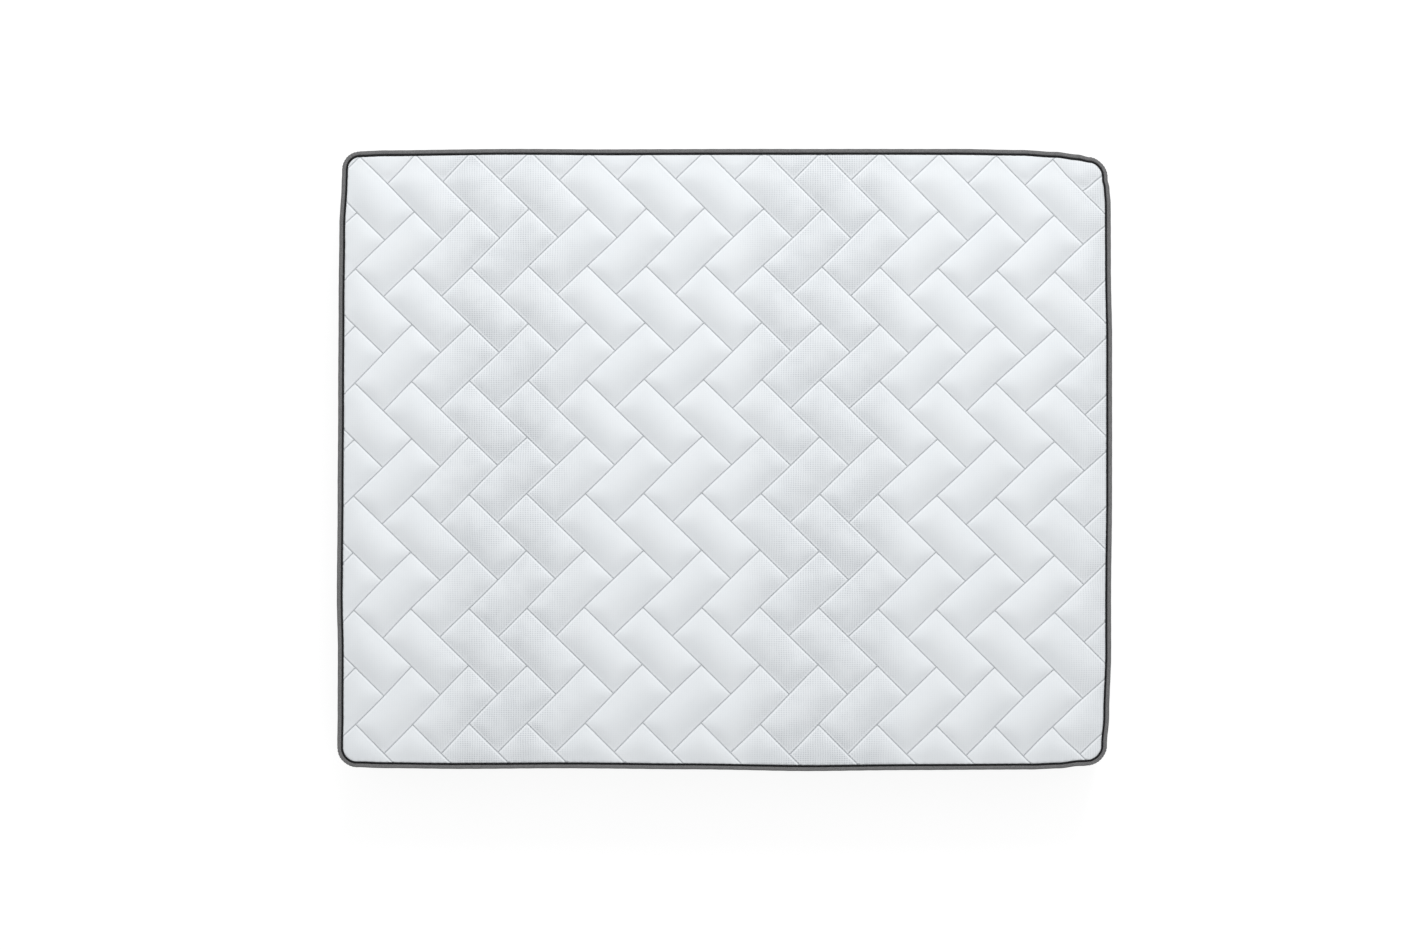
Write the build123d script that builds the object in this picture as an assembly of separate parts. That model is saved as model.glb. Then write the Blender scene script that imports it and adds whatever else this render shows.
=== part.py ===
from build123d import *
import os

# Memory foam mattress: a foam core in a knit liner, inside a quilted cover that opens with a zip
# along one long side. Millimetres. X runs along the 2 m length, Y across the 1.6 m width, Z up.
# The origin is the centre of the underside. Every outline is the outer outline moved in by an
# "inset", so that all the layers share the centres of the four corner arcs.

# The whole mattress
LENGTH = 2000
WIDTH = 1600
CORNER_RADIUS = 50
CURVE_GAP = 0.25  # left between curved walls of neighbouring layers

# Layers from the floor up
BOTTOM_PANEL = 2
BOTTOM_WADDING = 6
LINER = 1
SUPPORT_CORE = 120
TRANSITION_FOAM = 30
MEMORY_FOAM = 45
QUILT_BACKING = 1
QUILT_WADDING = 12
QUILT_FACE = 2

# Heights where the layers meet
Z_BOTTOM_WADDING = BOTTOM_PANEL
Z_LINER = Z_BOTTOM_WADDING + BOTTOM_WADDING
Z_SUPPORT = Z_LINER + LINER
Z_TRANSITION = Z_SUPPORT + SUPPORT_CORE
Z_MEMORY = Z_TRANSITION + TRANSITION_FOAM
Z_LINER_TOP = Z_MEMORY + MEMORY_FOAM
Z_BACKING = Z_LINER_TOP + LINER
Z_WADDING = Z_BACKING + QUILT_BACKING
Z_FACE = Z_WADDING + QUILT_WADDING
Z_TOP = Z_FACE + QUILT_FACE

# Foam and liner, as insets from the outermost outline
FOAM_INSET = 15
LINER_INSET = 14
LINER_SKIRT = 8  # how far the upper half of the liner comes down over the foam

# Rolled edge: tape round the seam of a panel and the border, with piping beside it
BEAD_WIDTH = 11
BEAD_HEIGHT = 12
BEAD_ROUND = 4.5
SLOT_ROOF = 2  # tape left outside the slot that holds the seam allowances
PIPING_RADIUS = 2.25
SEAM_CLEARANCE = 0.1
PANEL_FLANGE = 2
BORDER_FLANGE = 1.8
TOP_SEAM = Z_WADDING
BOTTOM_SEAM = Z_LINER - 0.5
PANEL_SKIRT_INSET = BEAD_WIDTH + 2 * PIPING_RADIUS + 0.2
PANEL_INSET = PANEL_SKIRT_INSET + QUILT_FACE
PANEL_ROUND = 9

# Side band
BORDER_INSET = 3
BORDER_FACE = 1.5
BORDER_NECK_INSET = BEAD_WIDTH + 0.3
BORDER_NECK_INNER = LINER_INSET - 1
BORDER_WADDING_INNER = LINER_INSET - 0.5
SHOULDER_DROP = 13  # from each seam to the full width of the side band

# Zip in the -Y side, measured inwards from that side
ZIP_Z = 70
WINDOW_HALF_LENGTH = 940
WINDOW_HALF_HEIGHT = 10
HEM_WIDTH = 10
HEM_DEPTH = 2.3
COIL_DEPTH = 2.6
COIL_WIDTH = 2.6
COIL_SLIT = 1.0
COIL_ROUND = 0.8
TAPE_THICKNESS = 0.8
TAPE_WIDTH = 16
TAPE_HALF_LENGTH = WINDOW_HALF_LENGTH + 12
COIL_HALF_LENGTH = WINDOW_HALF_LENGTH - 12
HEM_BACK = BORDER_INSET + BORDER_FACE + HEM_DEPTH
CHAIN_CENTRE = HEM_BACK + TAPE_THICKNESS / 2
CHAIN_HALF_HEIGHT = COIL_SLIT / 2 + COIL_WIDTH
CHANNEL_HALF_LENGTH = WINDOW_HALF_LENGTH + 25
CHANNEL_HALF_HEIGHT = 24

# Slider and pull tab
SLIDER_X = -898  # parked with the zip closed
SLIDER_LENGTH = 14
SLIDER_HALF_FRONT = 5.2
SLIDER_HALF_REAR = 4.6
PLATE = 1.3
PLATE_CLEARANCE = 0.4
WALL = 0.9
TAPE_CLEARANCE = 0.3
POST_THICKNESS = 0.7
POST_LENGTH = 3.5
BAR_RADIUS = 0.9
BAR_CLEARANCE = 0.06
BAR_HALF_LENGTH = 2.7
FOOT = 1.0
EYE_RADIUS = 1.9
EYE_PLATE_GAP = 0.2
TAB_LENGTH = 26
TAB_THICKNESS = 1.2
TAB_HALF_WIDTH = 4
NECK_HALF_WIDTH = 2.4
NECK_LENGTH = 4.6
TAB_HOLE_RADIUS = 1.6
TAB_HOLE_EDGE = 5  # from the end of the tab to the middle of its hole
RIM_ROUND = 0.4

# End stops and end patches
STOP_LENGTH = 3.5
STOP_PLATE = 0.7
STOP_GAP = 2  # from the parked slider to the stop
PATCH_LENGTH = 35
PATCH_OVERLAP = 10
PATCH_HALF_HEIGHT = 14
PATCH_THICKNESS = 1


def slab(inset, low, high):
    """A rounded slab between two heights, its sides moved in from the outermost outline."""
    outline = RectangleRounded(LENGTH - 2 * inset, WIDTH - 2 * inset, CORNER_RADIUS - inset)
    return Pos(0, 0, low) * extrude(outline, high - low)


def ring(outer_inset, inner_inset, low, high):
    """A closed band with vertical walls."""
    return slab(outer_inset, low, high) - slab(inner_inset, low, high)


def block(x_range, depth_range, z_range):
    """A box given by its place along X, its depth inside the -Y side, and its heights."""
    size_x = x_range[1] - x_range[0]
    size_y = depth_range[1] - depth_range[0]
    size_z = z_range[1] - z_range[0]
    corner = Pos(x_range[0], -WIDTH / 2 + depth_range[0], z_range[0])
    return corner * Box(size_x, size_y, size_z, align=(Align.MIN, Align.MIN, Align.MIN))


def pad(inset, low, high, radius):
    """A slab whose upper rim is rounded."""
    body = slab(inset, low, high)
    return fillet(body.edges().group_by(Axis.Z)[-1], radius)


def between(a, b):
    """Two heights in rising order."""
    return min(a, b), max(a, b)


def seam_flange(seam, up, thickness, inner_inset):
    """The seam allowance of a panel or border, reaching out into the slot of the binding."""
    low, high = between(seam + up * SEAM_CLEARANCE / 2, seam + up * thickness)
    return ring(SLOT_ROOF + CURVE_GAP, inner_inset, low, high)


def binding(seam):
    """Tape rolled over the seam, with a slot open to the inside for the seam allowances."""
    roll = ring(0, BEAD_WIDTH, seam - BEAD_HEIGHT / 2, seam + BEAD_HEIGHT / 2)
    rims = [roll.edges().group_by(Axis.Z)[k] for k in (0, -1)]
    outer = [e for rim in rims for e in rim if is_outermost(e)]
    roll = fillet(outer, BEAD_ROUND)
    reach = PANEL_FLANGE + SEAM_CLEARANCE
    return roll - ring(SLOT_ROOF, BEAD_WIDTH + 1, seam - reach, seam + reach)


def is_outermost(edge):
    """True for an edge on the outermost outline, whose arcs have the full corner radius."""
    if edge.geom_type == GeomType.CIRCLE:
        return edge.radius > CORNER_RADIUS - 1
    middle = edge.center()
    return abs(middle.X) > LENGTH / 2 - 1 or abs(middle.Y) > WIDTH / 2 - 1


def piping(seam, up):
    """Round cord lying on the panel's flange, along the inner side of the binding."""
    inset = BEAD_WIDTH + PIPING_RADIUS
    outline = RectangleRounded(LENGTH - 2 * inset, WIDTH - 2 * inset, CORNER_RADIUS - inset)
    height = seam + up * (PANEL_FLANGE + PIPING_RADIUS + SEAM_CLEARANCE / 2)
    path = Pos(0, 0, height) * outline.wire()
    start = Plane(origin=path @ 0, z_dir=path % 0)
    return sweep(start * Circle(PIPING_RADIUS - SEAM_CLEARANCE / 2), path=path)


def quilt_face():
    """Face fabric: a sheet with a rounded rim, coming down to a flange in the binding."""
    outer = pad(PANEL_SKIRT_INSET, TOP_SEAM + SEAM_CLEARANCE / 2, Z_TOP, PANEL_ROUND)
    inner = pad(PANEL_INSET, TOP_SEAM - 1, Z_FACE, PANEL_ROUND - QUILT_FACE)
    return outer - inner + seam_flange(TOP_SEAM, 1, PANEL_FLANGE, PANEL_INSET)


def quilt_wadding():
    return pad(PANEL_INSET + CURVE_GAP, Z_WADDING, Z_FACE, PANEL_ROUND - QUILT_FACE)


def quilt_backing():
    return slab(PANEL_INSET + CURVE_GAP, Z_BACKING, Z_WADDING)


def bottom_panel():
    """Base cloth: a flat sheet that turns up to a flange in the bottom binding."""
    sheet = slab(PANEL_SKIRT_INSET, 0, BOTTOM_SEAM - SEAM_CLEARANCE / 2)
    hollow = slab(PANEL_INSET, BOTTOM_PANEL, BOTTOM_SEAM)
    return sheet - hollow + seam_flange(BOTTOM_SEAM, -1, PANEL_FLANGE, PANEL_INSET)


def bottom_wadding():
    return slab(PANEL_INSET + CURVE_GAP, Z_BOTTOM_WADDING, Z_LINER)


def border_edge(seam, up):
    """Where the side band draws in under a binding: shoulder, neck and flange."""
    shoulder_outer = seam - up * SHOULDER_DROP
    shoulder = ring(
        BORDER_INSET,
        BORDER_NECK_INNER,
        *between(shoulder_outer, shoulder_outer - up * BORDER_FACE),
    )
    neck = ring(
        BORDER_NECK_INSET,
        BORDER_NECK_INNER,
        *between(shoulder_outer - up * BORDER_FACE, seam - up * SEAM_CLEARANCE / 2),
    )
    return shoulder + neck + seam_flange(seam, -up, BORDER_FLANGE, BORDER_NECK_INNER)


def border_face():
    """Side band, with a window for the zip whose edges are turned back as a hem."""
    low = BOTTOM_SEAM + SHOULDER_DROP
    high = TOP_SEAM - SHOULDER_DROP
    band = ring(BORDER_INSET, BORDER_INSET + BORDER_FACE, low, high)
    band += border_edge(TOP_SEAM, 1)
    band += border_edge(BOTTOM_SEAM, -1)
    hem_x = WINDOW_HALF_LENGTH + HEM_WIDTH
    hem_z = WINDOW_HALF_HEIGHT + HEM_WIDTH
    band += block(
        (-hem_x, hem_x),
        (BORDER_INSET + BORDER_FACE - 0.1, HEM_BACK),
        (ZIP_Z - hem_z, ZIP_Z + hem_z),
    )
    window = block(
        (-WINDOW_HALF_LENGTH, WINDOW_HALF_LENGTH),
        (BORDER_INSET - 1, HEM_BACK + 1),
        (ZIP_Z - WINDOW_HALF_HEIGHT, ZIP_Z + WINDOW_HALF_HEIGHT),
    )
    return band - window


def border_wadding():
    """Wadding behind the side band, cut away where the zip and its slider run."""
    low = BOTTOM_SEAM + SHOULDER_DROP + BORDER_FACE + CURVE_GAP
    high = TOP_SEAM - SHOULDER_DROP - BORDER_FACE - CURVE_GAP
    band = ring(BORDER_INSET + BORDER_FACE + CURVE_GAP, BORDER_WADDING_INNER, low, high)
    channel = block(
        (-CHANNEL_HALF_LENGTH, CHANNEL_HALF_LENGTH),
        (BORDER_INSET, LINER_INSET),
        (ZIP_Z - CHANNEL_HALF_HEIGHT, ZIP_Z + CHANNEL_HALF_HEIGHT),
    )
    return band - channel


def liner_lower():
    """Knit liner under and round the foam, up to the seam below its top."""
    high = Z_LINER_TOP - LINER_SKIRT - SEAM_CLEARANCE
    tray = slab(LINER_INSET, Z_LINER, high)
    return tray - slab(FOAM_INSET - CURVE_GAP, Z_SUPPORT, high)


def liner_upper():
    """Knit liner over the foam, with a short skirt."""
    low = Z_LINER_TOP - LINER_SKIRT
    lid = slab(LINER_INSET, low, Z_BACKING)
    return lid - slab(FOAM_INSET - CURVE_GAP, low, Z_LINER_TOP)


def zip_side(up):
    """The tape and the coil of one half of the zip, above or below the slit."""
    inner = ZIP_Z + up * COIL_SLIT / 2
    outer = inner + up * COIL_WIDTH
    coil = block(
        (-COIL_HALF_LENGTH, COIL_HALF_LENGTH),
        (CHAIN_CENTRE - COIL_DEPTH / 2, CHAIN_CENTRE + COIL_DEPTH / 2),
        between(inner, outer),
    )
    coil = fillet(coil.edges().filter_by(Axis.X), COIL_ROUND)
    tape = block(
        (-TAPE_HALF_LENGTH, TAPE_HALF_LENGTH),
        (HEM_BACK, HEM_BACK + TAPE_THICKNESS),
        between(outer, outer + up * TAPE_WIDTH),
    )
    return tape, coil


def zip_stops():
    """Two clips through the slit, one past each end of the slider's travel."""
    front = CHAIN_CENTRE - COIL_DEPTH / 2 - SEAM_CLEARANCE / 2
    back = CHAIN_CENTRE + COIL_DEPTH / 2 + SEAM_CLEARANCE / 2
    near = abs(SLIDER_X) + SLIDER_LENGTH / 2 + STOP_GAP
    clips = []
    for side in (-1, 1):
        x_range = between(side * near, side * (near + STOP_LENGTH))
        chain = (ZIP_Z - CHAIN_HALF_HEIGHT, ZIP_Z + CHAIN_HALF_HEIGHT)
        slit = (ZIP_Z - POST_THICKNESS / 2, ZIP_Z + POST_THICKNESS / 2)
        clip = block(x_range, (front - STOP_PLATE, front), chain)
        clip += block(x_range, (back, back + STOP_PLATE), chain)
        clip += block(x_range, (front - STOP_PLATE, back + STOP_PLATE), slit)
        clips.append(clip)
    return Compound(children=[solid for clip in clips for solid in clip.solids()])


def zip_end_patches():
    """Fabric patches on the side band, over the two ends of the zip window."""
    near = WINDOW_HALF_LENGTH - PATCH_OVERLAP
    patches = []
    for side in (-1, 1):
        patch = block(
            between(side * near, side * (near + PATCH_LENGTH)),
            (BORDER_INSET - PATCH_THICKNESS, BORDER_INSET),
            (ZIP_Z - PATCH_HALF_HEIGHT, ZIP_Z + PATCH_HALF_HEIGHT),
        )
        patches.append(fillet(patch.edges().filter_by(Axis.Y), 4))
    return Compound(children=[solid for patch in patches for solid in patch.solids()])


def side_plate(points, depth_range, radius):
    """A plate parallel to the -Y side, its rims rounded: X and Z of its corners from the slider."""
    outline = make_face(Polyline(*points, close=True))
    outline = fillet(outline.vertices(), radius)
    front = (SLIDER_X, -WIDTH / 2 + depth_range[0], ZIP_Z)
    at = Plane(origin=front, x_dir=(1, 0, 0), z_dir=(0, -1, 0))
    plate = extrude(at * outline, -(depth_range[1] - depth_range[0]))
    rims = plate.edges().group_by(Axis.Y)
    return fillet(rims[0] + rims[-1], RIM_ROUND)


BAR_DEPTH = CHAIN_CENTRE - COIL_DEPTH / 2 - PLATE_CLEARANCE - PLATE - EYE_PLATE_GAP - EYE_RADIUS
BAR_CENTRE = Pos(SLIDER_X, -WIDTH / 2 + BAR_DEPTH, ZIP_Z)


def zip_slider():
    """Two plates round the chain, joined by a thin post in the slit, with a bridge bar outside."""
    half = SLIDER_LENGTH / 2
    plan = [
        (-half, -SLIDER_HALF_FRONT),
        (half, -SLIDER_HALF_REAR),
        (half, SLIDER_HALF_REAR),
        (-half, SLIDER_HALF_FRONT),
    ]
    outer_back = CHAIN_CENTRE - COIL_DEPTH / 2 - PLATE_CLEARANCE
    inner_front = CHAIN_CENTRE + COIL_DEPTH / 2 + PLATE_CLEARANCE
    outer_front = outer_back - PLATE
    slider = side_plate(plan, (outer_front, outer_back), 1.5)
    slider += side_plate(plan, (inner_front, inner_front + PLATE), 1.5)
    for side in (-1, 1):
        wall_z = between(side * SLIDER_HALF_REAR, side * (SLIDER_HALF_REAR - WALL))
        wall_z = (ZIP_Z + wall_z[0], ZIP_Z + wall_z[1])
        wall_x = (SLIDER_X - half + 2, SLIDER_X + half - 1)
        slider += block(wall_x, (outer_back - 0.1, HEM_BACK - TAPE_CLEARANCE), wall_z)
        tape_back = HEM_BACK + TAPE_THICKNESS + TAPE_CLEARANCE
        slider += block(wall_x, (tape_back, inner_front + 0.1), wall_z)
    slider += block(
        (SLIDER_X - half + 1, SLIDER_X - half + 1 + POST_LENGTH),
        (outer_back - 0.1, inner_front + 0.1),
        (ZIP_Z - POST_THICKNESS / 2, ZIP_Z + POST_THICKNESS / 2),
    )
    for side in (-1, 1):
        foot_z = between(side * BAR_HALF_LENGTH, side * (BAR_HALF_LENGTH + FOOT))
        slider += block(
            (SLIDER_X - BAR_RADIUS, SLIDER_X + BAR_RADIUS),
            (BAR_DEPTH, outer_front + 0.1),
            (ZIP_Z + foot_z[0], ZIP_Z + foot_z[1]),
        )
    return slider + BAR_CENTRE * Cylinder(BAR_RADIUS, 2 * (BAR_HALF_LENGTH + FOOT))


def zip_pull():
    """Pull tab: an eye on the bridge bar, a neck between the feet, and a rounded blade."""
    tab_range = (BAR_DEPTH - TAB_THICKNESS / 2, BAR_DEPTH + TAB_THICKNESS / 2)
    neck = block(
        (SLIDER_X, SLIDER_X + NECK_LENGTH + 1),
        tab_range,
        (ZIP_Z - NECK_HALF_WIDTH, ZIP_Z + NECK_HALF_WIDTH),
    )
    blade_plan = [
        (NECK_LENGTH, -TAB_HALF_WIDTH),
        (TAB_LENGTH, -TAB_HALF_WIDTH),
        (TAB_LENGTH, TAB_HALF_WIDTH),
        (NECK_LENGTH, TAB_HALF_WIDTH),
    ]
    blade = side_plate(blade_plan, tab_range, 2)
    hole_centre = Pos(SLIDER_X + TAB_LENGTH - TAB_HOLE_EDGE, -WIDTH / 2 + BAR_DEPTH, ZIP_Z)
    blade -= hole_centre * Rot(90, 0, 0) * Cylinder(TAB_HOLE_RADIUS, 4 * TAB_THICKNESS)
    eye = BAR_CENTRE * Cylinder(EYE_RADIUS, 2 * NECK_HALF_WIDTH)
    bore = BAR_CENTRE * Cylinder(BAR_RADIUS + BAR_CLEARANCE, 4 * NECK_HALF_WIDTH)
    return eye + neck + blade - bore


def build():
    """Every node of the mattress by name."""
    tape_upper, coil_upper = zip_side(1)
    tape_lower, coil_lower = zip_side(-1)
    return {
        "bottom_panel": bottom_panel(),
        "bottom_wadding": bottom_wadding(),
        "bottom_binding": binding(BOTTOM_SEAM),
        "bottom_piping": piping(BOTTOM_SEAM, -1),
        "liner_lower": liner_lower(),
        "liner_upper": liner_upper(),
        "support_core": slab(FOAM_INSET, Z_SUPPORT, Z_TRANSITION),
        "transition_foam": slab(FOAM_INSET, Z_TRANSITION, Z_MEMORY),
        "memory_foam": slab(FOAM_INSET, Z_MEMORY, Z_LINER_TOP),
        "quilt_backing": quilt_backing(),
        "quilt_wadding": quilt_wadding(),
        "quilt_face": quilt_face(),
        "top_binding": binding(TOP_SEAM),
        "top_piping": piping(TOP_SEAM, 1),
        "border_face": border_face(),
        "border_wadding": border_wadding(),
        "zip_tape_upper": tape_upper,
        "zip_tape_lower": tape_lower,
        "zip_coil_upper": coil_upper,
        "zip_coil_lower": coil_lower,
        "zip_stops": zip_stops(),
        "zip_end_patches": zip_end_patches(),
        "zip_slider": zip_slider(),
        "zip_pull": zip_pull(),
    }


os.makedirs("parts", exist_ok=True)
for name, shape in build().items():
    export_step(shape, f"parts/{name}.step")
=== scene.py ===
import math

import bmesh
import bpy
import numpy as np
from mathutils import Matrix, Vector


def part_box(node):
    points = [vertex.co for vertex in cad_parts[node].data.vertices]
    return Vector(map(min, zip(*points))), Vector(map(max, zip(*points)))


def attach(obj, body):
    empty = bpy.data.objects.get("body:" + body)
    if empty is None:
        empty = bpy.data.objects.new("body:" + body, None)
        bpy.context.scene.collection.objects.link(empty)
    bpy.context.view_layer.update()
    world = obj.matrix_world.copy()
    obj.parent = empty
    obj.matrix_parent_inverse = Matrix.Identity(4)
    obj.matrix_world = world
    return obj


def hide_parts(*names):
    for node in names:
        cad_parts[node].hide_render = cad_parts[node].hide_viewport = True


# A memory foam mattress in its quilted cover. Metres, in the frame of the CAD model: X along the
# long sides, Y across, Z up, the origin at the centre of the underside.
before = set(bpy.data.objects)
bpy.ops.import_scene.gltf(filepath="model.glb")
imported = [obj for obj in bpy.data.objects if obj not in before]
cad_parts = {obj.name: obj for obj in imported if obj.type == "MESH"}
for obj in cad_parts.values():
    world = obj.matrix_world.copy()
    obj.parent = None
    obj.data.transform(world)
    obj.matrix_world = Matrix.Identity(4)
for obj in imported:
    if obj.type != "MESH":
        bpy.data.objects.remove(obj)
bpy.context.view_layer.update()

MM = 0.001
HALF_X, HALF_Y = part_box("top_binding")[1][:2]
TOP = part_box("quilt_face")[1][2]
CORNER = 50 * MM
BODY = "mattress"
OTHER_WAY = [0, 3, 2, 1]  # the corners of a square face, counted the other way round

# Edge roll and piping, read from the CAD nodes
BEAD_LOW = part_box("top_binding")[0][2]
BEAD_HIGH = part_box("top_binding")[1][2]
BEAD_WIDTH = 11 * MM
ROLL_POWER = 3.2  # how square the section of the roll is: 2 would be an oval
PIPING_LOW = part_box("top_piping")[0][2]
PIPING_RADIUS = (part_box("top_piping")[1][2] - PIPING_LOW) / 2
PIPING_INSET = HALF_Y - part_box("top_piping")[1][1] + PIPING_RADIUS
BOTTOM_BEAD_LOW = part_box("bottom_binding")[0][2]
BOTTOM_BEAD_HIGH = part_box("bottom_binding")[1][2]
PANEL_INSET = BEAD_WIDTH + 2 * PIPING_RADIUS + 0.1 * MM

# How far the soft outline of the top stands out from the straight one, in mm, at places along
# each side given as fractions of the half side. The edge waves a little and the corner at +X +Y
# is pulled in.
OUTLINE_WAVES = {
    "left": (
        (-1, 2.5), (-0.92, 1.5), (-0.84, 0.5), (-0.62, 0), (-0.45, 2.5), (-0.12, 0.5),
        (0.2, -1), (0.5, -2), (0.75, -4), (0.9, -10), (0.93, -11), (1, -9.5),
    ),
    "right": (
        (-1, -8), (-0.93, -8), (-0.84, -2.5), (-0.62, 2.5), (-0.45, 2.5), (-0.1, 5),
        (0.38, 5), (0.62, 2), (0.84, 1.5), (0.9, -1.5), (0.93, -6), (1, -4),
    ),
    "top": (
        (-1, -2.5), (-0.96, -3), (-0.88, -0.5), (-0.55, 3), (-0.3, 2), (0, 3),
        (0.6, 3), (0.77, 0.5), (0.86, -4.5), (0.92, -11.5), (0.95, -18), (1, -24),
    ),
    "bottom": (
        (-1, -4), (-0.94, -1.5), (-0.88, 0.5), (-0.7, 2.5), (-0.4, 1), (-0.1, 3.5),
        (0.22, 8), (0.5, 5.5), (0.8, 4), (0.87, 1.5), (0.93, -5), (1, -9),
    ),
}
WAVE_DEPTH = 0.35  # the waves fade out over this share of the half width, towards the middle
WAVE_HIGH = 195 * MM
# They also fade out down the side band. The zip side is straight at the height of the zip.
WAVE_LOW = {"left": 0, "right": 0, "top": 0, "bottom": 95 * MM}
WAVE_FLOOR = {"left": 0.2, "right": 0.2, "top": 0.4, "bottom": 0}

# Herringbone quilting: half the repeat across and a quarter of the repeat along, for a unit
# square of the lattice. A puff covers two unit squares.
LATTICE_X = 75.75 * MM
LATTICE_Y = 73.55 * MM
LATTICE_START = (19.9 * MM, -162.1 * MM)
LATTICE_REACH = 14
SPARE_CLOTH = 12 * MM
CELLS = 8  # cloth cells along a side of a unit square
PUFF = 11.5 * MM
PUFF_SPREAD = 0.06
QUILT_PRESSURE = 88
QUILT_SLACK = 0.012
FABRIC = 2 * MM
SEAM_Z = TOP - 9.5 * MM
CROWN = 2.0 * MM
RIM = 18 * MM
FLAT_SHARE = 0.45  # the puffs are this much flatter at the rim than FLAT_REACH inside it
FLAT_REACH = 70 * MM
PANEL_EDGE = PIPING_LOW + 4 * MM
FLANGE_Z = PIPING_LOW - 0.3 * MM
BASE_FABRIC = 1.6 * MM
BASE_EDGE = 4 * MM
BASE_RIM = 9 * MM
BASE_FLANGE_Z = BOTTOM_BEAD_LOW + 4.2 * MM
GATHER = 8.5 * MM

# Side band and zip window
BAND_INSET = 3 * MM
BAND_FABRIC = 1.5 * MM
BAND_PRESSURE = 25
BAND_SLACK = 0.004
BAND_BULGE = 5 * MM
BAND_FLAT = 84 * MM  # the band is flat this far up and down from its middle
TAPE_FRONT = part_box("zip_tape_upper")[0][1]
WINDOW_X = 940 * MM
WINDOW_LOW = 60 * MM
WINDOW_HIGH = 80 * MM
HEM = 10 * MM
PATCH_LENGTH = 35 * MM

# Light and view
SKY = 0.62
KEY = 445  # watts
KEY_SIZE = 4.6
KEY_DISTANCE = 9.4
KEY_FROM = (0.12, 1.0, 0.75)
FLOOR_GLOW = 0.82
FLOOR_REACH = 14
FLOOR_GAP = 0.5 * MM
LENS = 85  # mm, as is the sensor's width
SENSOR = 36
VIEW_WIDTH = 3.625  # how much of the top's plane the picture shows
VIEW_CENTRE = (-59.5 * MM, -41.4 * MM)


def smooth(t):
    """Smooth step from 0 to 1."""
    t = np.clip(t, 0, 1)
    return t * t * (3 - 2 * t)


def eased(at, points):
    """A smooth curve through given (place, value) points."""
    value = np.full(np.shape(at), float(points[0][1]))
    for (a, low), (b, high) in zip(points, points[1:]):
        value += (high - low) * smooth((np.asarray(at) - a) / (b - a))
    return value


def soften(points):
    """Moves points of the straight model to where the soft outline of the mattress is."""
    points = np.array(points, float)
    x, y, z = points.T
    for name, across, along, sign in (
        ("left", x / HALF_X, y / HALF_Y, -1),
        ("right", x / HALF_X, y / HALF_Y, 1),
        ("bottom", y / HALF_Y, x / HALF_X, -1),
        ("top", y / HALF_Y, x / HALF_X, 1),
    ):
        near = smooth((across * sign - (1 - WAVE_DEPTH)) / WAVE_DEPTH)
        up = smooth((z - WAVE_LOW[name]) / (WAVE_HIGH - WAVE_LOW[name]))
        down = WAVE_FLOOR[name] + (1 - WAVE_FLOOR[name]) * up
        shift = sign * near * down * MM * eased(along, OUTLINE_WAVES[name])
        points[:, 0 if name in ("left", "right") else 1] += shift
    return points


def shade_smooth(mesh):
    mesh.polygons.foreach_set("use_smooth", [True] * len(mesh.polygons))


def add_object(name, data):
    made = bpy.data.objects.new(name, data)
    bpy.context.scene.collection.objects.link(made)
    return made


def add_piece(name, mesh, material=None, body=BODY):
    """An object for a mesh, with its material, riding on a CAD body."""
    piece = add_object(name, mesh)
    if material is not None:
        mesh.materials.append(material)
    if body is not None:
        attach(piece, body)
    return piece


def new_mesh(name, points, faces, material=None, body=BODY):
    """A smooth-shaded object from points and faces."""
    mesh = bpy.data.meshes.new(name)
    mesh.from_pydata([tuple(p) for p in points], [], [tuple(f) for f in faces])
    mesh.validate()
    shade_smooth(mesh)
    return add_piece(name, mesh, material, body)


def grid_faces(rows, columns, round_rows=False, round_columns=False):
    """Square faces over rows of points; a closed direction goes round to its first point."""
    starts = np.arange(rows - (not round_rows)), np.arange(columns - (not round_columns))
    a, k = (each.ravel() for each in np.meshgrid(*starts, indexing="ij"))
    row, next_row, m = a * columns, (a + 1) % rows * columns, (k + 1) % columns
    return np.stack([row + k, next_row + k, next_row + m, row + m], axis=1)


def tube_faces(rows, sides):
    """Faces round rows of points that close on themselves, with both ends capped."""
    faces = grid_faces(rows, sides, round_columns=True)[:, OTHER_WAY].tolist()
    last = rows * sides
    return faces + [[*range(sides)][::-1], [*range(last - sides, last)]]


def lengths(points):
    """Distance of each point of a run from its start."""
    gaps = np.linalg.norm(np.diff(points, axis=0), axis=1)
    return np.concatenate([[0], np.cumsum(gaps)])


def thicken(piece, thickness):
    """Gives a one-sided cloth its thickness, inwards, and applies the piece's modifiers."""
    shell = piece.modifiers.new("fabric", "SOLIDIFY")
    shell.thickness = thickness
    shell.offset = -1
    graph = bpy.context.evaluated_depsgraph_get()
    mesh = bpy.data.meshes.new_from_object(piece.evaluated_get(graph))
    piece.modifiers.clear()
    piece.data = mesh


# ---- materials

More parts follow.
